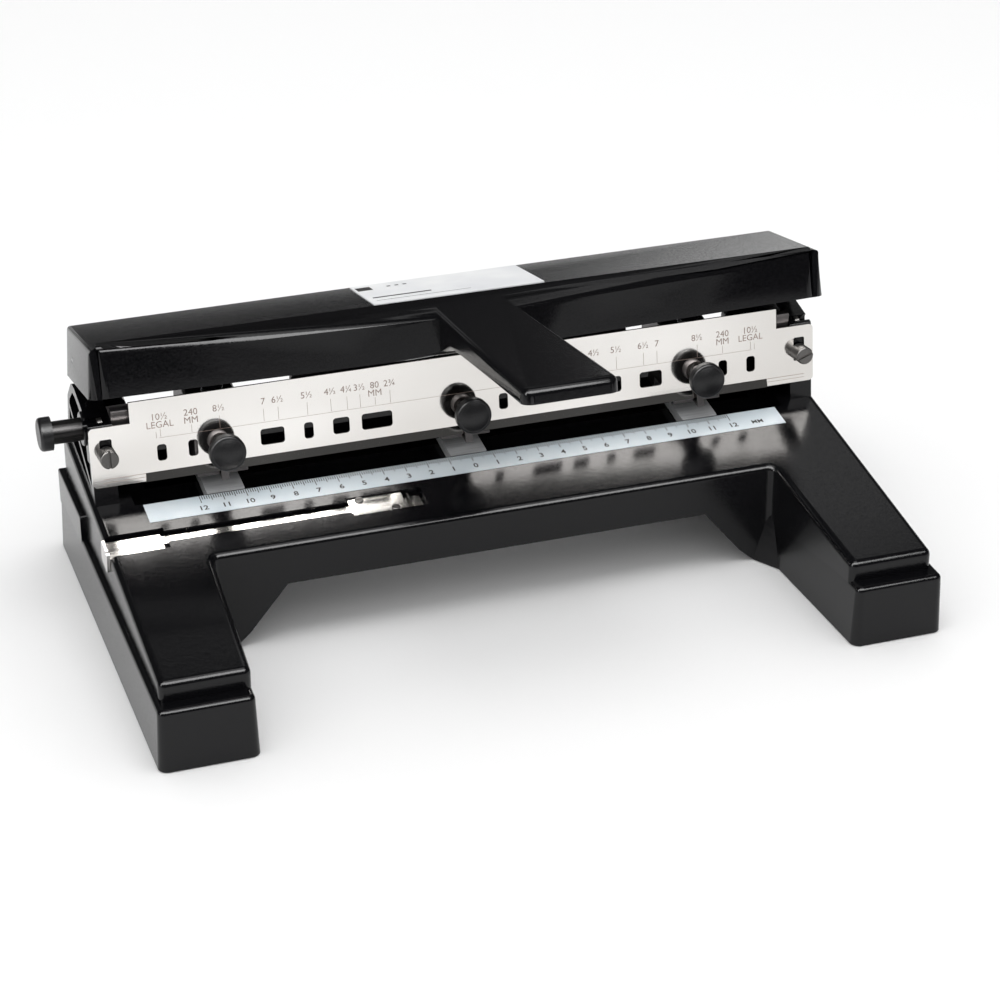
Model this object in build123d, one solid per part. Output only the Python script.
from build123d import *
import os
from math import asin, cos, hypot, radians, sin, sqrt, tan

# Heavy-duty adjustable three-hole punch. Millimetres, +X to the user's right, +Y to the rear, +Z up.
# While it is being built, X = 0 is the centre punch, Y = 0 the rear edge of the scale strip and Z = 0 the
# surface that it stands on. The last step moves everything so that the origin is the centre of the base.

os.makedirs("parts", exist_ok=True)

# ---------------------------------------------------------------- driving dimensions
# fits
slide_gap = 0.15            # flat faces of a sliding pair
run_gap = 0.05              # radial gap of a shaft that turns or slides in its bore
snug_gap = 0.02             # radial gap of a screw or pin in the hole that holds it
move_gap = 0.3              # least air between a moving piece and what it passes
touch_bite = 0.5            # how far fused solids of one piece run into each other

# base casting
base_half_width = 168.0
base_front = -125.2
base_rear = 72.0
base_clear = 0.4            # air under the casting, taken up by the rubber feet
sole_height = 27.3          # height of the ledge round the feet
sole_draft_deg = 2.2
sole_round = 2.2
side_ledge = 3.2            # ledge of the sole round the wall above it: sides, toes, rear
toe_ledge = 8.0
rear_ledge = 6.0
tier_half_width = base_half_width - side_ledge
tier_front = base_front + toe_ledge
tier_rear = base_rear - rear_ledge
foot_width = 36.9           # of one front foot at its toe
foot_splay = 3.3            # the foot's inner side comes closer to the middle at the table
foot_inner_at_toe = tier_half_width - foot_width
foot_inner_at_table = foot_inner_at_toe - foot_splay
sole_inner_step = 0.7
leg_width = 12.6            # from the foot's inner side to the inner face of the leg under the table
leg_inner = foot_inner_at_table - leg_width
table_front = -42.4
haunch_top_in = 31.2        # where the braces under the table meet its apron, from the foot's inner side
haunch_knee_in = 14.1       # the braces turn a little flatter here
haunch_foot_in = 7.6
haunch_top_x = foot_inner_at_table - haunch_top_in
haunch_knee_x = foot_inner_at_table - haunch_knee_in
haunch_knee_z = 6.2
haunch_foot_x = foot_inner_at_table - haunch_foot_in
heel_reach = 15.6           # how far the web at the foot's inner corner runs forward
heel_front = table_front - heel_reach
slab = 9.5                  # thickness of the table under its sloping top
wall = 4.5
toe_roof = 5.5
deck_height = 51.0          # top of the deck at Y = 0
table_thick = 24.1          # from there to the lower edge of the table's apron
table_underside = deck_height - table_thick
deck_slope_deg = 7.4        # the deck falls towards the user
shelf_step_front = 22.8     # the sole is taller behind this
shelf_drop = 13.1           # top of that ledge under the deck at Y = 0
shelf_step_height = deck_height - shelf_drop
edge_round = 3.0

# trough and chip slot in the deck
trough_front = 0.6
trough_rear = 38.4
trough_margin = 17.6        # from the side wall to the trough's end
trough_half = tier_half_width - trough_margin
shoe_thick = 4.7            # of the die shoes that run in the trough
shoe_clear = 0.3            # under them
trough_depth = shoe_thick + shoe_clear
chip_slot_margin = 8.2
chip_slot_half = trough_half - chip_slot_margin

# scale strip
scale_margin_left = 3.3     # from the trough's end to the end of the strip
scale_margin_right = 3.7
scale_left = -(trough_half - scale_margin_left)
scale_right = trough_half - scale_margin_right
scale_width = 13.05
scale_thick = 0.6
scale_sunk = 0.45

# index plate
plate_thick = 1.2
plate_inset = 1.3           # from the side wall to the plate's end
plate_half = tier_half_width - plate_inset
plate_foot_y = 3.8          # lower front edge of the plate
plate_rise = 9.0            # its height over the deck's level at Y = 0
plate_foot_z = deck_height + plate_rise
plate_lean_deg = 7.5        # leans back
plate_height = 35.3
plate_shoulder = 26.2
plate_notch = 17.7          # length of the low shoulder at each end
plate_notch_x = plate_half - plate_notch
plate_corner = 2.0
window_foot = 8.05
window_top = 15.25
window_width = 4.1
window_corner = 1.4
lip_margin = 22.5
lip_half = plate_half - lip_margin
lip_reach = 1.0
lip_rise = 3.6
inch = 25.4
legal_station = 5.25 * inch
metric_station = 120.0
letter_station = 4.25 * inch
# windows on the left of centre, as (first station, last station) in millimetres from the centre
window_spans = [
    (legal_station, legal_station),
    (metric_station, metric_station),
    (letter_station, letter_station),
    (3.5 * inch, 3.25 * inch),
    (2.75 * inch, 2.75 * inch),
    (2.25 * inch, 2.125 * inch),
    (1.75 * inch, 1.375 * inch),
]
centre_window_offset = 17.3

# plate screws
plate_screw_in = 6.8
plate_screw_x = plate_half - plate_screw_in
plate_screw_height = 14.0
plate_screw_head_r = 3.9
plate_screw_head_len = 7.2
plate_screw_shank_r = 2.0
plate_screw_shoulder_r = 2.4
plate_screw_depth = 7.0
plate_slot_width = 5.2
plate_slot_foot = 10.0
plate_slot_top = 20.8

# punch heads
head_half = 11.0
shoe_half = 8.2
punch_t = 24.0              # punch axis, measured along the deck from the scale's rear edge
punch_r = 3.6
throat = 5.6                # height of the paper gap
throat_depth = 29.4         # from the scale's rear edge to where the paper stops
head_top = 33.5
head_back = 48.6
spring_seat = 20.0
spring_wire_r = 0.42
spring_inner_gap = 0.1      # air between the pin and its spring
spring_outer_gap = 0.21     # air between the spring and its pocket
spring_coil_r = punch_r + spring_inner_gap + spring_wire_r
spring_pocket_r = spring_coil_r + spring_wire_r + spring_outer_gap
spring_turns = 5
cap_brim = 1.0
cap_r = punch_r + cap_brim
cap_height = 4.0
neck_step = 1.2
pin_neck_r = punch_r - neck_step
punch_idle_gap = 0.1        # pin's tip above the underside of the head

# guide bars
front_bar_thick = 4.0
cap_to_bar = 0.4            # air between the pins' caps and the front bar
front_bar_t1 = punch_t - cap_r - cap_to_bar
front_bar_t0 = front_bar_t1 - front_bar_thick
front_bar_w0 = 30.9
head_notch = front_bar_w0 - move_gap    # top of the head under the front bar
front_bar_w1 = 38.5
front_bar_rise_half = 75.5  # the bar is taller between these, against bending
front_bar_rise_w = 44.0
rise_to_plate = 0.3         # air between that part and the index plate
rear_bar_t0 = 37.0
rear_bar_t1 = 45.0
rear_bar_w0 = 8.0
rear_bar_w1 = 22.0
rail_screw_r = 1.2
rail_screw_head_r = 2.2
rail_screw_head_len = 1.9
rail_screw_len = 12.0
rail_screw_low = 1.9        # height of the front bar's screw over its underside

# knobs and index pins
knob_height = 11.1          # above the foot of the plate
knob_r = 7.8
knob_face = 14.2            # front of the knob from the face of the plate
knob_back = 8.3
knob_dome = 1.2
barrel_r = 4.6
barrel_front = 7.4
strap_front = 3.3
strap_back = 2.3
strap_half = 1.6
strap_low = throat + move_gap
strap_thick = 0.8
stem_r = 2.0
nose_gap = 0.25             # end of the index pin from the plate
collar_r = 3.3
collar_len = 0.7
barrel_bore_r = 3.6
barrel_face = 1.0
knob_wire_r = 0.25
knob_turns = 4

# end brackets
bracket_out = plate_half - move_gap
bracket_width = 10.2
bracket_in = bracket_out - bracket_width
bar_half = bracket_in       # the guide bars end on the brackets' inner faces
web_thick = 3.6
rim = 3.8
bracket_rear_foot = 60.0
bracket_rear_top_t = 56.5
bracket_rear_top_w = 23.0
bracket_top_front_w = 34.0
bracket_top_t = 40.0
bracket_top_w = 36.0
bracket_top_rear_t = 47.0
bracket_top_rear_w = 35.0
rib = 2.6
bracket_screw_in = 2.5
bracket_screw_x = bracket_in + bracket_screw_in
bracket_screw_t0 = 14.0
bracket_screw_t1 = 52.0
bracket_screw_r = 2.0
bracket_screw_head_r = 3.8
bracket_screw_head_len = 3.6
bracket_screw_bite = 8.0
ear_thick = 5.0
flange_reach = 14.0         # foot flange at the bracket's rear, towards the middle
flange_t0 = 51.5
flange_t1 = 55.5
flange_top = 21.5
ear_wall = 3.5

# lever
lever_inset = 1.2           # from the side wall to the lever's end
lever_half = tier_half_width - lever_inset
lever_end_draft = 2.2
lever_depth = 53.1
lever_height = 21.0
lever_rear_y = 49.2         # lower rear edge of the lever at rest
lever_rise = 41.45          # its height over the deck's level at Y = 0
lever_rear_z = deck_height + lever_rise
lever_rest_deg = 12.2       # the front is raised by this at rest
lever_wall = 3.2
lever_roof = 4.0
hip_out = 11.9              # how far the middle of the front wall stands out
hip_u = lever_depth + hip_out
hip_top = 16.5
hip_foot = 0.5
tongue_root_half = 16.6
tongue_tip_half = 19.9
tongue_lead = 2.0           # the tip's middle stands this far to the right of the root's
tongue_bite = 9.1           # how far the tongue's root runs into the bar
tongue_reach = 123.1        # how far its tip stands out of the bar
tongue_u0 = lever_depth - tongue_bite
tongue_u1 = lever_depth + tongue_reach
tongue_root_u = lever_depth - 1.1
tongue_root_top = 20.4
tongue_tip_top = 10.8
tongue_root_foot = 5.6
tongue_tip_foot = 4.4
tongue_round = 3.0
tip_corner = 4.5
pivot_u = 13.8
pivot_v = 8.84
pivot_r = 3.5
pivot_nose_r = 1.2
pivot_boss_wall = 3.3
pivot_boss_r = pivot_r + pivot_boss_wall
ear_r = pivot_r + ear_wall
ear_to_boss = 1.0           # air between the bracket's ear and the lever's boss
pivot_boss_in = bracket_in + ear_thick + ear_to_boss
pivot_show = 2.4            # how far the pins come through the ears, inwards
pivot_in = bracket_in - pivot_show
rod_r = 4.0
rod_end_gap = 0.2           # air between the rod's ends and the pins
rod_half = pivot_in - rod_end_gap
rod_drop = 0.4              # rod axis below the pivot, measured square to the deck, at rest
rod_rib = 5.0
label_half = 38.0
label_u0 = 3.6
label_u1 = 43.6
label_thick = 0.5

# lock plunger
plunger_t = 23.2
plunger_w = 27.0
plunger_r = 4.9
plunger_wall = 2.5
plunger_boss_r = plunger_r + plunger_wall
plunger_boss_out = bracket_out + 1.1
plunger_reach = 12.5        # how far the shaft stands out of its boss
plunger_shaft_out = plunger_boss_out + plunger_reach
plunger_grip = 3.1          # length of the shaft inside the boss
plunger_shaft_in = plunger_boss_out - plunger_grip
plunger_brim = 2.3
plunger_cap_r = plunger_r + plunger_brim
plunger_cap_len = 5.4
plunger_end = plunger_shaft_out + plunger_cap_len
plunger_spindle_r = 2.2
plunger_seat = bracket_in + 1.4
plunger_wire_r = 0.35
plunger_turns = 4

# side paper stop
stop_depth = 2.8
stop_head_half = 7.1        # half width of the slide's wide end
stop_head_t = -25.0
stop_head_len = 24.6        # of the wide end
stop_tab_out = 1.4          # how far its tab stands out of the side wall
stop_tab_x = -(tier_half_width + stop_tab_out)
stop_head_x = stop_tab_x + stop_head_len
stop_bar_half = 2.6
stop_bar_t = -24.1
stop_bar_end = -38.0
stop_thick = 1.2
stop_tab_low = 9.0
stop_tab_high = 1.0
stop_dimple_r = 0.9
stop_dimples = 6
guide_x0 = -60.6
guide_x1 = -37.0
guide_half = 6.2
guide_thick = 0.8
guide_screw_r = 1.2
guide_screw_head_r = 1.9

# chip tray
tray_side_gap = 1.4
tray_half = leg_inner - tray_side_gap
tray_front = 3.0
tray_wall = 1.8
tray_rise = 2.8             # the tray's floor over the lower edge of the table's apron
tray_height = 9.5
tray_foot = table_underside + tray_rise
tray_top = tray_foot + tray_height
tray_lip = 4.0
ledge_width = 9.0
ledge_in = leg_inner - ledge_width

# rubber feet
pad_r = 8.0
pad_thick = 4.0
pad_recess = 1.0
pad_boss_wall = 2.0
pad_boss_r = pad_r + pad_boss_wall
pad_in = 17.8               # centres of the pads from the walls above them: sides, toes, rear
pad_behind_toe = 13.2
pad_from_rear = 20.0
pad_x = tier_half_width - pad_in
pad_front = tier_front + pad_behind_toe
pad_rear = tier_rear - pad_from_rear


# ---------------------------------------------------------------- frames
slope = radians(deck_slope_deg)
DECK = Pos(0, 0, deck_height) * Rot(deck_slope_deg, 0, 0)
PLATE = Pos(0, plate_foot_y, plate_foot_z) * Rot(-plate_lean_deg, 0, 0)
LEVER = Pos(0, lever_rear_y, lever_rear_z) * Rot(-lever_rest_deg, 0, 0)


def to_deck(y, z):
    """Distance along the deck and height square to it, of a point given by its Y and Z."""
    dz = z - deck_height
    return y * cos(slope) + dz * sin(slope), -y * sin(slope) + dz * cos(slope)


def deck_z(y):
    """Height of the deck's surface over the ground at Y."""
    return deck_height + y * tan(slope)


plate_foot_t, plate_foot_w = to_deck(plate_foot_y, plate_foot_z)
plate_tilt = slope + radians(plate_lean_deg)


def plate_line(w, behind):
    """Where a plane parallel to the plate, behind its front face, is at height w over the deck."""
    return plate_foot_t + (w - plate_foot_w) * tan(plate_tilt) + behind / cos(plate_tilt)


lever_rest = radians(lever_rest_deg)
pivot_y = lever_rear_y - pivot_u * cos(lever_rest) + pivot_v * sin(lever_rest)
pivot_z = lever_rear_z + pivot_u * sin(lever_rest) + pivot_v * cos(lever_rest)
pivot_t, pivot_w = to_deck(pivot_y, pivot_z)
cap_top = pivot_w - rod_drop - rod_r - move_gap
cap_foot = cap_top - cap_height
lever_travel_deg = lever_rest_deg + deck_slope_deg

# the presser rod in the lever's own frame
swing = radians(lever_travel_deg)
rod_back = pivot_t - punch_t
rod_u = pivot_u + rod_back * cos(swing) - rod_drop * sin(swing)
rod_v = pivot_v - rod_back * sin(swing) - rod_drop * cos(swing)


# ---------------------------------------------------------------- helpers
def block(x0, x1, y0, y1, z0, z1):
    return Pos((x0 + x1) / 2, (y0 + y1) / 2, (z0 + z1) / 2) * Box(x1 - x0, y1 - y0, z1 - z0)


def prism_x(points, x0, x1):
    """A (y, z) outline stretched along X."""
    face = Plane.YZ.offset(x0) * Polygon(*points)
    return extrude(face, amount=x1 - x0, dir=(1, 0, 0))


def prism_y(points, y0, y1):
    """An (x, z) outline stretched along Y."""
    face = Plane.XZ.offset(-y0) * Polygon(*points)
    return extrude(face, amount=y1 - y0, dir=(0, 1, 0))


def prism_z(points, z0, z1):
    """An (x, y) outline stretched along Z."""
    face = Plane.XY.offset(z0) * Polygon(*points)
    return extrude(face, amount=z1 - z0, dir=(0, 0, 1))


def rod_along_x(r, x0, x1, y, z):
    return Pos((x0 + x1) / 2, y, z) * Rot(0, 90, 0) * Cylinder(r, abs(x1 - x0))


def rod_along_y(r, y0, y1, x, z):
    return Pos(x, (y0 + y1) / 2, z) * Rot(90, 0, 0) * Cylinder(r, abs(y1 - y0))


def rod_along_z(r, z0, z1, x, y):
    return Pos(x, y, (z0 + z1) / 2) * Cylinder(r, abs(z1 - z0))


def coil(r, wire_r, length, turns):
    """A round-wire spring along Z from 0 to length."""
    rise = length - 2 * wire_r
    path = Pos(0, 0, wire_r) * Helix(rise / turns, rise, r)
    section = Plane(origin=path @ 0, z_dir=path % 0) * Circle(wire_r)
    return sweep(section, path=path)


def mirrored(shape):
    return mirror(shape, about=Plane.YZ)


def edges_at(shape, test):
    return [e for e in shape.edges() if test(e.center())]


nodes = {}


# ---------------------------------------------------------------- base casting
def u_outline():
    return [
        (-tier_half_width, tier_rear),
        (-tier_half_width, tier_front),
        (-foot_inner_at_toe, tier_front),
        (-foot_inner_at_table, table_front),
        (foot_inner_at_table, table_front),
        (foot_inner_at_toe, tier_front),
        (tier_half_width, tier_front),
        (tier_half_width, tier_rear),
    ]


def tier():
    face = make_face(Polyline(*u_outline(), close=True))
    face = fillet(face.vertices(), 3.0)
    high = deck_z(tier_rear) + 20
    body = extrude(face, amount=high, dir=(0, 0, 1))
    above = DECK * block(-400, 400, -400, 400, 0, 200)
    body -= above
    top = body.faces().sort_by(Axis.Z)[-1]
    return fillet(top.edges(), edge_round)


def sole():
    """Sole of the left foot, with the taller ledge beside the table's rear half."""
    inner_front = foot_inner_at_toe - sole_inner_step
    points = [
        (-base_half_width, base_rear),
        (-base_half_width, base_front),
        (-inner_front, base_front),
        (-foot_inner_at_table + sole_inner_step, table_front),
        (-haunch_foot_x, table_front),
        (-haunch_foot_x, base_rear),
    ]
    face = make_face(Polyline(*points, close=True))
    corners = [v for v in face.vertices() if abs(v.Y - table_front) > 1]
    face = fillet(corners, 4.0)
    body = Pos(0, 0, base_clear) * extrude(face, amount=sole_height - base_clear, taper=sole_draft_deg)
    top = body.faces().sort_by(Axis.Z)[-1]
    outer = edges_at(top, lambda c: c.Y < table_front - 2 or c.X < -foot_inner_at_toe - 20)
    body = fillet(outer, sole_round)
    body += heel()
    x0 = -base_half_width + 0.9
    x1 = -tier_half_width + 4
    step = block(x0, x1, shelf_step_front, base_rear - 1.2, sole_height - 6, shelf_step_height)
    outer = step.edges().filter_by(Axis.Y).sort_by(Axis.Z)[-2:]
    outer += step.edges().filter_by(Axis.X).sort_by(Axis.Z)[-2:]
    step = fillet(outer, 1.6)
    return body + step


def heel():
    """Web in the left inner corner, widest at the bottom, that carries the brace over to the foot."""
    wide = [
        (-haunch_foot_x, table_front),
        (-foot_inner_at_table - 1.9, heel_front),
        (-foot_inner_at_table - wall, heel_front),
        (-foot_inner_at_table - wall, table_front + wall),
        (-haunch_foot_x, table_front + wall),
    ]
    narrow = [
        (-foot_inner_at_table - 0.2, table_front - 0.1),
        (-foot_inner_at_table - 0.4, table_front - 0.6),
        (-foot_inner_at_table - wall, table_front - 0.6),
        (-foot_inner_at_table - wall, table_front + wall),
        (-foot_inner_at_table - 0.2, table_front + wall),
    ]
    low = Plane.XY.offset(base_clear) * Polygon(*wide)
    high = Plane.XY.offset(sole_height - 1.5) * Polygon(*narrow)
    return loft([low.face(), high.face()], ruled=True)


def base_casting():
    body = tier()
    # room under the table, with the braces that run down to the feet
    under = [
        (-haunch_foot_x, -5),
        (-haunch_foot_x, base_clear),
        (-haunch_knee_x, haunch_knee_z),
        (-haunch_top_x, table_underside),
        (haunch_top_x, table_underside),
        (haunch_knee_x, haunch_knee_z),
        (haunch_foot_x, base_clear),
        (haunch_foot_x, -5),
    ]
    apron_back = table_front + wall
    rear_wall = tier_rear - wall
    legs = block(-leg_inner - 20, leg_inner + 20, table_front, tier_rear, base_clear, table_underside + 8)
    body += legs
    left = sole()
    body += left + mirrored(left)
    body -= prism_y(under, table_front - 40, tier_rear + 40)
    body -= block(-400, 400, -400, 400, -50, base_clear)
    # hollows, open below
    hollow = [
        (apron_back, -5),
        (rear_wall, -5),
        (rear_wall, deck_z(rear_wall) - slab / cos(slope)),
        (apron_back, deck_z(apron_back) - slab / cos(slope)),
    ]
    body -= prism_x(hollow, -leg_inner, leg_inner)
    toe_back = tier_front + wall + 1
    toe_hollow = [
        (toe_back, -5),
        (apron_back, -5),
        (apron_back, deck_z(apron_back) - toe_roof),
        (toe_back, deck_z(toe_back) - toe_roof),
    ]
    foot_out = tier_half_width - wall
    for side in (-1, 1):
        x0, x1 = sorted((side * (foot_inner_at_toe + wall), side * foot_out))
        body -= prism_x(toe_hollow, x0, x1)
        x0, x1 = sorted((side * (haunch_foot_x + 1), side * foot_out))
        body -= prism_x(hollow, x0, x1)
    # ledges for the chip tray and its way out at the rear
    ledge_top = tray_foot - slide_gap
    for side in (-1, 1):
        x0, x1 = sorted((side * ledge_in, side * (leg_inner + touch_bite)))
        body += block(x0, x1, tray_front, tier_rear, table_underside, ledge_top)
    body -= block(-leg_inner, leg_inner, rear_wall - 1, tier_rear + 20, ledge_top, tray_top + 1.2)
    body -= block(-ledge_in, ledge_in, rear_wall - 1, tier_rear + 20, -5, tray_top)
    # bosses for the rubber feet
    for x in (-pad_x, pad_x):
        for y in (pad_front, pad_rear):
            roof = deck_z(y) - toe_roof + 1
            body += rod_along_z(pad_boss_r, pad_thick - pad_recess, roof, x, y)
            body -= rod_along_z(pad_r + snug_gap, 0, pad_thick, x, y)
    # deck details
    cuts = block(-trough_half, trough_half, trough_front, trough_rear, -trough_depth, 5)
    half_slot = punch_r + 2.2
    cuts += block(-chip_slot_half, chip_slot_half, punch_t - half_slot, punch_t + half_slot, -slab - 2, 0)
    cuts += block(scale_left, scale_right, -scale_width, 0, -scale_sunk, 5)
    body -= DECK * cuts
    body -= DECK * stop_recess()
    for side in (-1, 1):
        for t in (bracket_screw_t0, bracket_screw_t1):
            x = side * bracket_screw_x
            body -= DECK * rod_along_z(bracket_screw_r + 0.2, -slab - 8, 1, x, t)
            # flat under the slab for the screw's head
            body -= DECK * rod_along_z(bracket_screw_head_r + 0.6, -slab - 8, -slab + 0.4, x, t)
    return body


def stop_recess():
    """Profiled recess in the deck for the side paper stop."""
    head_r = stop_head_t + stop_head_half
    head_f = stop_head_t - stop_head_half
    cuts = block(stop_tab_x - 20, stop_head_x + 2.0, head_f, head_r, -stop_depth, 5)
    bar_f = stop_bar_t - stop_bar_half - 1.0
    bar_r = stop_bar_t + stop_bar_half + 1.5
    cuts += block(stop_head_x, guide_x0, bar_f, bar_r, -stop_depth, 5)
    guide_f = stop_bar_t - guide_half - 0.2
    guide_r = stop_bar_t + guide_half + 0.2
    cuts += block(guide_x0 - 0.6, -28.3, guide_f, guide_r, -stop_depth, 5)
    return cuts


nodes["base_casting"] = base_casting()


def feet():
    pads = []
    for x in (-pad_x, pad_x):
        for y in (pad_front, pad_rear):
            pad = rod_along_z(pad_r, 0, pad_thick, x, y)
            pads.append(fillet(pad.edges().sort_by(Axis.Z)[0], 0.6))
    return Compound(children=pads)


nodes["rubber_feet"] = feet()


def chip_tray():
    rear = tier_rear - 0.5
    outer = block(-tray_half, tray_half, tray_front, rear, tray_foot, tray_top)
    outer = fillet(outer.edges().filter_by(Axis.Z), 2.5)
    inner = block(
        -tray_half + tray_wall, tray_half - tray_wall,
        tray_front + tray_wall, rear - tray_wall,
        tray_foot + tray_wall, tray_top + 5,
    )
    inner = fillet(inner.edges().filter_by(Axis.Z), 1.5)
    lip = block(-22, 22, rear - touch_bite, rear + tray_lip, tray_top - tray_wall, tray_top)
    lip = fillet(lip.edges().filter_by(Axis.Z).sort_by(Axis.Y)[-2:], 3.0)
    return outer - inner + lip


nodes["chip_tray"] = chip_tray()

scale = block(scale_left, scale_right, -scale_width, 0, -scale_sunk, scale_thick - scale_sunk)
nodes["scale_strip"] = DECK * scale


# ---------------------------------------------------------------- side paper stop
def side_stop():
    """Stainless slide: wide end with a bent tab, and a narrow bar with detent dimples."""
    floor = -stop_depth + 0.02
    top = floor + stop_thick
    f = stop_head_t - stop_head_half + move_gap
    r = stop_head_t + stop_head_half - 2.0
    head = block(stop_tab_x, stop_head_x, f, r, floor, top)
    bar = block(stop_head_x - 1, stop_bar_end, stop_bar_t - stop_bar_half, stop_bar_t + stop_bar_half, floor, top)
    tab = block(stop_tab_x, stop_tab_x + stop_thick, f, r, -stop_tab_low, stop_tab_high)
    tab = fillet(tab.edges().filter_by(Axis.X), 2.2)
    slide = head + bar + tab
    pitch = 12.7
    for k in range(stop_dimples):
        x = stop_head_x + 12 + pitch * k * 0.85
        slide -= rod_along_z(stop_dimple_r, top - 0.5, top + 1, x, stop_bar_t + stop_bar_half)
    return DECK * slide


def stop_guide():
    """Bridge that holds the slide down, with two feet on the recess floor."""
    floor = -stop_depth
    under = floor + 0.02 + stop_thick + slide_gap
    plate = block(guide_x0, guide_x1, stop_bar_t - guide_half, stop_bar_t + guide_half, under, under + guide_thick)
    for s in (-1, 1):
        y0, y1 = sorted((stop_bar_t + s * guide_half, stop_bar_t + s * (stop_bar_half + slide_gap)))
        plate += block(guide_x0, guide_x1, y0, y1, floor, under)
    for x, s in guide_screws():
        plate -= rod_along_z(guide_screw_r + snug_gap, floor - 1, 1, x, stop_bar_t + s * 4.4)
    return DECK * plate


def guide_screws():
    return [(guide_x0 + 5, 1), (guide_x1 - 5, -1)]


def stop_screws():
    floor = -stop_depth
    seat = floor + 0.02 + stop_thick + slide_gap + guide_thick
    parts = []
    for x, s in guide_screws():
        y = stop_bar_t + s * 4.4
        screw = rod_along_z(guide_screw_r, floor, seat, x, y)
        head = rod_along_z(guide_screw_head_r, seat, seat + 0.7, x, y)
        head = fillet(head.edges().sort_by(Axis.Z)[-1], 0.3)
        slot = block(x - 3, x + 3, y - 0.25, y + 0.25, seat + 0.4, seat + 2)
        parts.append(DECK * (screw + (head - slot)))
    return Compound(children=parts)


def stop_clip():
    """Bent spring leaf at the end of the slide's bar."""
    floor = -stop_depth
    x0 = guide_x1 + 1.2
    points = [
        (x0, floor), (x0 + 6.4, floor), (x0 + 6.4, floor + 0.4),
        (x0 + 3.0, floor + 0.4), (x0 + 1.4, floor + 2.2), (x0 + 0.9, floor + 2.2), (x0 + 2.2, floor + 0.4),
        (x0, floor + 0.4),
    ]
    return DECK * prism_y(points, stop_bar_t - 4.5, stop_bar_t + 4.5)


nodes["side_stop_slide"] = side_stop()
nodes["side_stop_guide"] = stop_guide()
nodes["side_stop_screws"] = stop_screws()
nodes["side_stop_clip"] = stop_clip()


# ---------------------------------------------------------------- index plate
def window(x0, x1):
    low, high = sorted((x0, x1))
    w = high - low + window_width
    h = window_top - window_foot
    face = Plane.XZ * Pos((low + high) / 2, (window_foot + window_top) / 2) * RectangleRounded(w, h, window_corner)
    return extrude(face, amount=10, both=True)


def index_plate():
    outline = [
        (-plate_half, 0), (plate_half, 0), (plate_half, plate_shoulder), (plate_notch_x, plate_shoulder),
        (plate_notch_x, plate_height), (-plate_notch_x, plate_height), (-plate_notch_x, plate_shoulder),
        (-plate_half, plate_shoulder),
    ]
    sheet = prism_y(outline, 0, plate_thick)
    sheet = fillet(edges_at(sheet, lambda c: abs(abs(c.X) - plate_half) < 0.01 and abs(c.Y - plate_thick / 2) < 0.01),
                   plate_corner)
    lip = [(0.0, lip_rise), (-lip_reach, 0.0), (-lip_reach + 0.9, -0.5), (plate_thick, 1.0), (plate_thick, lip_rise)]
    sheet += prism_x(lip, -lip_half, lip_half)
    spans = window_spans + [(-b, -a) for a, b in window_spans]
    for a, b in spans:
        sheet -= window(a, b)
    sheet -= window(0, 0)
    sheet -= window(centre_window_offset, centre_window_offset)
    slot_mid = (plate_slot_foot + plate_slot_top) / 2
    for x in (-plate_screw_x, plate_screw_x):
        slot = Plane.XZ * Pos(x, slot_mid) * RectangleRounded(plate_slot_width, plate_slot_top - plate_slot_foot, 0.8)
        sheet -= extrude(slot, amount=10, both=True)
    return PLATE * sheet


nodes["index_plate"] = index_plate()


def plate_screws():
    parts = []
    for x, turn in ((-plate_screw_x, 90), (plate_screw_x, 20)):
        z = plate_screw_height
        head = rod_along_y(plate_screw_head_r, -plate_screw_head_len, 0, x, z)
        head = fillet(head.edges().sort_by(Axis.Y)[0], 0.6)
        slot = Box(3 * plate_screw_head_r, 2.4, 1.1)
        head -= Pos(x, -plate_screw_head_len, z) * Rot(0, -turn, 0) * slot
        shoulder = rod_along_y(plate_screw_shoulder_r, 0, plate_thick, x, z)
        shank = rod_along_y(plate_screw_shank_r, plate_thick, plate_thick + plate_screw_depth, x, z)
        parts.append(PLATE * (head + shoulder + shank))
    return Compound(children=parts)


nodes["plate_screws"] = plate_screws()


# ---------------------------------------------------------------- end brackets
def bracket_outline(inset):
    """Side view of a bracket along the deck; inset moves the front, top and rear lines inwards."""
    front = inset + plate_thick
    lean = (bracket_rear_foot - bracket_rear_top_t) / bracket_rear_top_w
    low = inset
    top_w = bracket_top_front_w - inset
    points = [
        (plate_line(low, front), low),
        (plate_line(top_w, front), top_w),
        (bracket_top_t - inset * 0.2, bracket_top_w - inset),
        (bracket_top_rear_t - inset * 0.5, bracket_top_rear_w - inset),
        (bracket_rear_top_t - inset, bracket_rear_top_w),
        (bracket_rear_foot - inset - lean * low, low),
    ]
    return points


def rounded_side(points, x0, x1, radii):
    """An outline stretched along X with its long edges rounded, one radius for each corner."""
    face = make_face(Plane.YZ.offset(x0) * Polyline(*points, close=True))
    for (t, w), r in zip(points, radii):
        if r > 0:
            corner = [v for v in face.vertices() if hypot(v.Y - t, v.Z - w) < 0.01]
            face = fillet(corner, r)
    return extrude(face, amount=x1 - x0, dir=(1, 0, 0))


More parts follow.
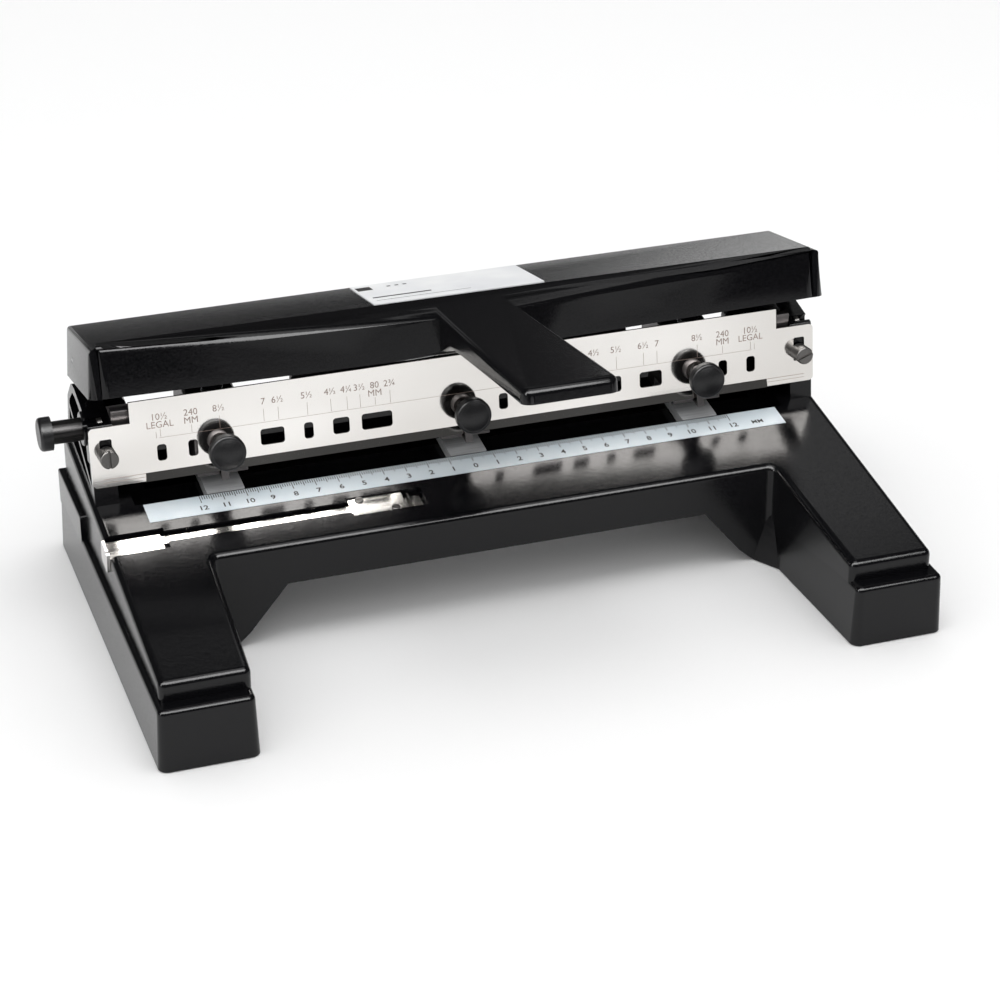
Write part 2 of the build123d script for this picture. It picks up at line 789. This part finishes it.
def end_bracket(with_plunger):
    """Right-hand bracket: a web with a rim and diagonal ribs on its outer side."""
    radii = [0, 1.0, 4.0, 7.0, 6.0, 0]
    body = rounded_side(bracket_outline(0), bracket_in, bracket_out, radii)
    pocket = rounded_side(bracket_outline(rim), bracket_in + web_thick, bracket_out + 1, [1, 1, 2, 4, 4, 1])
    # ribs that cross the pocket
    ribs = rib_bar((plate_line(4, 3), 4), (bracket_rear_top_t - 2, bracket_rear_top_w - 3))
    ribs += rib_bar((plate_line(30, 3), 31), (bracket_rear_foot - 3, 3))
    body -= pocket - ribs
    # boss behind the plate for its screw
    local = block(bracket_in, bracket_out, plate_thick, plate_thick + plate_screw_depth + 1.5,
                  plate_screw_height - 4.5, plate_screw_height + 4.5)
    body += DECK.inverse() * PLATE * local
    # ear that carries the pivot inside the lever
    ear = prism_x([(38.5, 30), (50.4, 30), (50.4, 38), (pivot_t + ear_r * 0.86, pivot_w + 2),
                   (pivot_t - ear_r * 0.86, pivot_w + 2), (38.5, 38)], bracket_in, bracket_in + ear_thick)
    ear += rod_along_x(ear_r, bracket_in, bracket_in + ear_thick, pivot_t, pivot_w)
    body += ear
    body -= rod_along_x(pivot_r + run_gap, bracket_in - 1, bracket_in + ear_thick + 1, pivot_t, pivot_w)
    flange = block(bracket_in - flange_reach, bracket_in + 1, flange_t0, flange_t1, 0, flange_top)
    body += fillet(flange.edges().filter_by(Axis.Y).sort_by(Axis.X)[:2].sort_by(Axis.Z)[-1], 5.0)
    # seats for the screws that hold the bracket down
    for t in (bracket_screw_t0, bracket_screw_t1):
        body += block(bracket_in, bracket_in + 6.2, t - 4.0, t + 4.0, 0, bracket_screw_bite + 2)
        body -= rod_along_z(bracket_screw_r + snug_gap, -1, bracket_screw_bite + 0.2, bracket_screw_x, t)
    # screw holes for the two guide bars
    if with_plunger:
        body += plunger_boss()
        body -= rod_along_x(plunger_r + run_gap, plunger_seat, plunger_boss_out + 1, plunger_t, plunger_w)
        body -= rod_along_x(plunger_spindle_r + run_gap, bracket_in - 1, plunger_seat + 1, plunger_t, plunger_w)
    for t, w in rail_screw_places():
        body -= rod_along_x(rail_screw_r + snug_gap, bracket_in - 1, bracket_in + web_thick + 1, t, w)
        body -= rod_along_x(rail_screw_head_r + move_gap, bracket_in + web_thick, plunger_boss_out + 1, t, w)
    body = DECK * body
    bore = rod_along_y(plate_screw_shank_r + snug_gap, plate_thick - 1, plate_thick + plate_screw_depth + 0.2,
                       plate_screw_x, plate_screw_height)
    return body - PLATE * bore


def plunger_boss():
    """Boss of the left bracket, drawn on the right like the rest of it."""
    boss = rod_along_x(plunger_boss_r, bracket_in, plunger_boss_out, plunger_t, plunger_w)
    return fillet(boss.edges().sort_by(Axis.X)[-1], 0.8)


def rib_bar(p, q):
    """A straight rib between two points of the side view."""
    dt = q[0] - p[0]
    dw = q[1] - p[1]
    n = hypot(dt, dw)
    ox = -dw / n * rib / 2
    oy = dt / n * rib / 2
    points = [(p[0] + ox, p[1] + oy), (p[0] - ox, p[1] - oy), (q[0] - ox, q[1] - oy), (q[0] + ox, q[1] + oy)]
    return prism_x(points, bracket_in, bracket_out + 2)


def rail_screw_places():
    """Side-view places of the two screws that hold the guide bars."""
    return [
        ((front_bar_t0 + front_bar_t1) / 2, front_bar_w0 + rail_screw_low),
        ((rear_bar_t0 + rear_bar_t1) / 2, (rear_bar_w0 + rear_bar_w1) / 2),
    ]


nodes["left_end_bracket"] = mirrored(end_bracket(True))
nodes["right_end_bracket"] = end_bracket(False)


def bracket_screws():
    parts = []
    seat = -slab + 0.4
    for x in (-bracket_screw_x, bracket_screw_x):
        for t in (bracket_screw_t0, bracket_screw_t1):
            shank = rod_along_z(bracket_screw_r, seat, bracket_screw_bite, x, t)
            head = rod_along_z(bracket_screw_head_r, seat - bracket_screw_head_len, seat, x, t)
            low = Plane.XY.offset(seat - bracket_screw_head_len - 1) * Pos(x, t) * RegularPolygon(1.7, 6)
            head -= extrude(low, amount=3.0, dir=(0, 0, 1))
            parts.append(DECK * (shank + head))
    return Compound(children=parts)


nodes["bracket_screws"] = bracket_screws()


# ---------------------------------------------------------------- guide bars
def guide_bar(t0, t1, w0, w1, place):
    bar = block(-bar_half, bar_half, t0, t1, w0, w1)
    bar = chamfer(bar.edges().filter_by(Axis.X), 0.4)
    t, w = place
    for s in (-1, 1):
        bar -= rod_along_x(rail_screw_r + snug_gap, s * (bar_half + 1), s * (bar_half - rail_screw_len), t, w)
    return DECK * bar


front_place, rear_place = rail_screw_places()
front_bar = guide_bar(front_bar_t0, front_bar_t1, front_bar_w0, front_bar_w1, front_place)
rise_t0 = plate_line(front_bar_rise_w, plate_thick + rise_to_plate)
rise = block(-front_bar_rise_half, front_bar_rise_half, rise_t0, front_bar_t1, front_bar_w1 - 2, front_bar_rise_w)
front_bar += DECK * fillet(rise.edges().filter_by(Axis.Y).sort_by(Axis.Z)[-2:], 2.0)
nodes["front_guide_bar"] = front_bar
nodes["rear_guide_bar"] = guide_bar(rear_bar_t0, rear_bar_t1, rear_bar_w0, rear_bar_w1, rear_place)


def rail_screws():
    parts = []
    seat = bracket_in + web_thick
    for s in (-1, 1):
        for t, w in rail_screw_places():
            shank = rod_along_x(rail_screw_r, s * (bar_half - rail_screw_len + 1), s * seat, t, w)
            head = rod_along_x(rail_screw_head_r, s * seat, s * (seat + rail_screw_head_len), t, w)
            slot = block(seat + 1.0, seat + 4, t - 4, t + 4, w - 0.4, w + 0.4)
            head -= slot if s > 0 else mirrored(slot)
            parts.append(DECK * (shank + head))
    return Compound(children=parts)


nodes["rail_screws"] = rail_screws()


# ---------------------------------------------------------------- punch heads
def head_body(x):
    behind = plate_thick + 0.8
    over = rear_bar_w1 + slide_gap
    front_of_bar = rear_bar_t0 - slide_gap
    rear_of_bar = rear_bar_t1 + slide_gap
    outline = [
        (plate_line(throat, behind), throat),
        (plate_line(head_notch, behind), head_notch),
        (front_bar_t1 + 0.4, head_notch),
        (front_bar_t1 + 0.4, head_top),
        (front_of_bar - 3.0, head_top),
        (rear_of_bar + 1.0, over + 4.6),
        (head_back, over + 2.0),
        (head_back, rear_bar_w0 + 3.0),
        (rear_of_bar, rear_bar_w0 + 3.0),
        (rear_of_bar, over),
        (front_of_bar, over),
        (front_of_bar, 0),
        (throat_depth, 0),
        (throat_depth, throat),
    ]
    body = prism_x(outline, x - head_half, x + head_half)
    body = chamfer(edges_at(body, lambda c: abs(abs(c.X - x) - head_half) < 0.01 and c.Z > head_top - 0.01), 1.0)
    body -= rod_along_z(punch_r + run_gap, -1, head_top + 1, x, punch_t)
    body -= rod_along_z(spring_pocket_r, spring_seat, head_top + 5, x, punch_t)
    return DECK * body


def die_shoe(x):
    rear = rear_bar_t0 - slide_gap
    shoe = block(x - shoe_half, x + shoe_half, trough_front + move_gap, rear, -shoe_thick, 0)
    shoe = fillet(shoe.edges().filter_by(Axis.Z).sort_by(Axis.Y)[:2], 0.8)
    shoe -= rod_along_z(punch_r + run_gap, -2.6, 1, x, punch_t)
    shoe -= rod_along_z(punch_r + 0.8, -shoe_thick - 1, -2.5, x, punch_t)
    return DECK * shoe


def punch_pin(x):
    tip = throat + punch_idle_gap
    pin = rod_along_z(punch_r, tip, cap_foot, x, punch_t)
    # the cutting end has a shallow V across it, so that it shears the paper from two sides
    notch = [(x - 1.6, tip - 1), (x + 1.6, tip - 1), (x, tip + 1.1)]
    pin -= prism_y(notch, punch_t - 6, punch_t + 6)
    pin += rod_along_z(pin_neck_r, cap_foot - 1.0, cap_top - 1.0, x, punch_t)
    return DECK * pin


def pin_cap(x):
    cap = rod_along_z(cap_r, cap_foot, cap_top, x, punch_t)
    cap = fillet(cap.edges().sort_by(Axis.Z)[-1], 0.8)
    cap -= rod_along_z(pin_neck_r + snug_gap, cap_foot - 1, cap_top - 1.0, x, punch_t)
    return DECK * cap


def punch_spring(x):
    length = cap_foot - spring_seat - 0.1
    return DECK * Pos(x, punch_t, spring_seat + 0.05) * coil(spring_coil_r, spring_wire_r, length, spring_turns)


def plate_point(y, h):
    """A point given from the plate's front face, in the deck's side view."""
    t = plate_foot_t + y * cos(plate_tilt) + h * sin(plate_tilt)
    w = plate_foot_w - y * sin(plate_tilt) + h * cos(plate_tilt)
    return t, w


def knob_carrier(x):
    """Strap that passes under the plate, with the barrel that guides the index pin."""
    behind = plate_thick + 0.8
    top = knob_height + barrel_r - 1.0
    strap = [
        plate_point(-strap_front, top),
        (plate_line(strap_low, -strap_front), strap_low),
        (plate_line(strap_low, behind), strap_low),
        (plate_line(strap_low + strap_thick, behind), strap_low + strap_thick),
        (plate_line(strap_low + strap_thick, -strap_back), strap_low + strap_thick),
        plate_point(-strap_back, top),
    ]
    body = DECK * prism_x(strap, x - strap_half, x + strap_half)
    barrel = rod_along_y(barrel_r, -barrel_front, -strap_back, x, knob_height)
    barrel = fillet(barrel.edges().sort_by(Axis.Y)[0], 0.6)
    body += PLATE * barrel
    body -= PLATE * rod_along_y(barrel_bore_r, -barrel_front + barrel_face, 0, x, knob_height)
    return body - PLATE * rod_along_y(stem_r + run_gap, -barrel_front - 1, 0, x, knob_height)


def knob(x):
    """Black knob with a shallow dome and a rounded rim."""
    cap = rod_along_y(knob_r, -knob_face + knob_dome, -knob_back, x, knob_height)
    cap = fillet(cap.edges(), 1.1)
    ball_r = (knob_r - 1.4) ** 2 / (2 * knob_dome) + knob_dome / 2
    ball = Pos(x, -knob_face + ball_r, knob_height) * Sphere(ball_r)
    front = rod_along_y(knob_r - 1.2, -knob_face - 1, -knob_face + knob_dome + 1.5, x, knob_height)
    cap += ball & front
    cap -= rod_along_y(stem_r + snug_gap, -knob_back - 3.0, 0, x, knob_height)
    return PLATE * cap


def index_pin(x):
    pin = rod_along_y(stem_r, -knob_back - 3.0, -nose_gap, x, knob_height)
    nose = pin.edges().sort_by(Axis.Y)[-1]
    pin = fillet(nose, 0.5)
    collar = rod_along_y(collar_r, -nose_gap - 0.6 - collar_len, -nose_gap - 0.6, x, knob_height)
    return PLATE * (pin + collar)


def index_spring(x):
    length = barrel_front - barrel_face - nose_gap - 0.6 - collar_len - 0.1
    start = -barrel_front + barrel_face + 0.05
    r = (stem_r + barrel_bore_r) / 2
    return PLATE * Pos(x, start, knob_height) * Rot(-90, 0, 0) * coil(r, knob_wire_r, length, knob_turns)


head_places = {"left": -letter_station, "centre": 0.0, "right": letter_station}
for name, x in head_places.items():
    nodes[name + "_head_body"] = head_body(x)
    nodes[name + "_die_shoe"] = die_shoe(x)
    nodes[name + "_punch_pin"] = punch_pin(x)
    nodes[name + "_pin_cap"] = pin_cap(x)
    nodes[name + "_punch_spring"] = punch_spring(x)
    nodes[name + "_knob_carrier"] = knob_carrier(x)
    nodes[name + "_knob"] = knob(x)
    nodes[name + "_index_pin"] = index_pin(x)
    nodes[name + "_index_spring"] = index_spring(x)


# ---------------------------------------------------------------- lever
def hip(side):
    """Wedge on the front wall that grows from nothing at the end to full depth beside the tongue."""
    near = Plane.YZ.offset(side * tongue_root_half) * Polygon(
        (-lever_depth + 6, 0), (-hip_u + hip_foot * 1.5, hip_foot), (-hip_u, hip_top), (-lever_depth, lever_height),
        (-lever_depth + 6, lever_height))
    end = side * (lever_half - lever_end_draft - 3.0)
    far = Plane.YZ.offset(end) * Polygon(
        (-lever_depth + 6, 0), (-lever_depth - 0.1, 0.05), (-lever_depth - 0.1, lever_height - 0.1),
        (-lever_depth, lever_height), (-lever_depth + 6, lever_height))
    return loft([near.face(), far.face()], ruled=True)


def tongue():
    side_view = [
        (-tongue_u0, 3.0),
        (-tongue_u0, tongue_root_top + 0.1),
        (-tongue_root_u, tongue_root_top),
        (-tongue_u1, tongue_tip_top),
        (-tongue_u1, tongue_tip_foot),
        (-hip_u - 14, tongue_root_foot),
        (-hip_u - 3, 3.0),
    ]
    body = prism_x(side_view, -30, 30)
    plan = [
        (-tongue_root_half, -tongue_u0), (-tongue_root_half, -tongue_root_u),
        (tongue_lead - tongue_tip_half, -tongue_u1), (tongue_lead + tongue_tip_half, -tongue_u1),
        (tongue_root_half, -tongue_root_u), (tongue_root_half, -tongue_u0),
    ]
    face = make_face(Polyline(*plan, close=True))
    tip = [v for v in face.vertices() if v.Y < -tongue_u1 + 1]
    face = fillet(tip, tip_corner)
    body &= extrude(face, amount=60, dir=(0, 0, 1))
    front = -hip_u - 2
    long_edges = edges_at(body, lambda c: c.Y < front and c.Z > tongue_tip_top - 0.5)
    return fillet(long_edges, tongue_round)


def lever_casting():
    half = lever_half
    draft = lever_end_draft
    ends = [(-half, 0), (-half + draft, lever_height), (half - draft, lever_height), (half, 0)]
    bar = prism_y(ends, -lever_depth, 0)
    middle = prism_x([(-lever_depth + 6, 0), (-hip_u + hip_foot * 1.5, hip_foot), (-hip_u, hip_top),
                      (-lever_depth, lever_height), (-lever_depth + 6, lever_height)],
                     -tongue_root_half, tongue_root_half)
    bar = fillet(edges_at(bar, lambda c: abs(c.Y) < 0.01 and c.Z > 1), 2.2)
    bar = fillet(edges_at(bar, lambda c: abs(abs(c.X) - half + draft) < 1.2 and c.Z > lever_height - 0.1
                          and abs(c.Y + lever_depth / 2) < 4), 1.6)
    body = bar + hip(1) + hip(-1) + middle + tongue()
    cavity = block(-half + lever_wall, half - lever_wall, -lever_depth + lever_wall + 0.6, -lever_wall,
                   -1, lever_height - lever_roof)
    cavity -= block(-rod_half - 1, rod_half + 1, -rod_u - rod_rib / 2, -rod_u + rod_rib / 2, rod_v + 1, 40)
    for side in (-1, 1):
        x0, x1 = side * pivot_boss_in, side * (half - 1)
        cavity -= rod_along_x(pivot_boss_r, x0, x1, -pivot_u, pivot_v)
    body -= cavity
    body -= rod_along_x(rod_r, -rod_half, rod_half, -rod_u, rod_v)
    for side in (-1, 1):
        body -= rod_along_x(pivot_r + snug_gap, side * (pivot_boss_in - 1), side * (half - 1.7), -pivot_u, pivot_v)
        body -= rod_along_x(pivot_nose_r + snug_gap, side * (pivot_boss_in - 1), side * (half + 1), -pivot_u, pivot_v)
    return LEVER * body


nodes["lever_casting"] = lever_casting()


def lever_label():
    plate = block(-label_half, label_half, -label_u1, -label_u0, lever_height, lever_height + label_thick)
    plate = fillet(plate.edges().filter_by(Axis.Z), 0.8)
    return LEVER * plate


nodes["lever_label"] = lever_label()

rod = chamfer(rod_along_x(rod_r, -rod_half, rod_half, -rod_u, rod_v).edges(), 0.6)
nodes["presser_rod"] = LEVER * rod


def pivot_pins():
    parts = []
    for side in (-1, 1):
        pin = rod_along_x(pivot_r, side * pivot_in, side * (lever_half - 1.7), -pivot_u, pivot_v)
        draft_there = lever_end_draft * pivot_v / lever_height
        pin += rod_along_x(pivot_nose_r, side * (lever_half - 2), side * (lever_half - draft_there), -pivot_u, pivot_v)
        parts.append(LEVER * pin)
    return Compound(children=parts)


nodes["pivot_pins"] = pivot_pins()


# ---------------------------------------------------------------- lock plunger
def lock_plunger():
    shaft = rod_along_x(plunger_r, -plunger_shaft_out, -plunger_shaft_in, plunger_t, plunger_w)
    spindle = rod_along_x(plunger_spindle_r, -plunger_shaft_in - 1, -bracket_in - 0.2, plunger_t, plunger_w)
    return DECK * (shaft + spindle)


def plunger_button():
    cap = rod_along_x(plunger_cap_r, -plunger_end, -plunger_shaft_out, plunger_t, plunger_w)
    outer = cap.edges().sort_by(Axis.X)[0]
    cap = fillet(outer, 1.6)
    return DECK * cap


def plunger_spring():
    length = plunger_shaft_in - plunger_seat - 0.1
    r = (plunger_r + plunger_spindle_r) / 2
    place = Pos(-plunger_shaft_in + 0.05, plunger_t, plunger_w) * Rot(0, 90, 0)
    return DECK * place * coil(r, plunger_wire_r, length, plunger_turns)


nodes["lock_plunger"] = lock_plunger()
nodes["plunger_button"] = plunger_button()
nodes["plunger_spring"] = plunger_spring()


# ---------------------------------------------------------------- origin and export
boxes = [shape.bounding_box() for shape in nodes.values()]
low_x = min(b.min.X for b in boxes)
high_x = max(b.max.X for b in boxes)
low_y = min(b.min.Y for b in boxes)
high_y = max(b.max.Y for b in boxes)
shift = Pos(-(low_x + high_x) / 2, -(low_y + high_y) / 2, 0)

for name, shape in nodes.items():
    export_step(shift * shape, "parts/" + name + ".step")

print("shift", round(-(low_x + high_x) / 2, 4), round(-(low_y + high_y) / 2, 4))
print("pivot", round(pivot_y, 4), round(pivot_z, 4), "travel", lever_travel_deg)
print("deck slope", deck_slope_deg, "plate lean", plate_lean_deg)
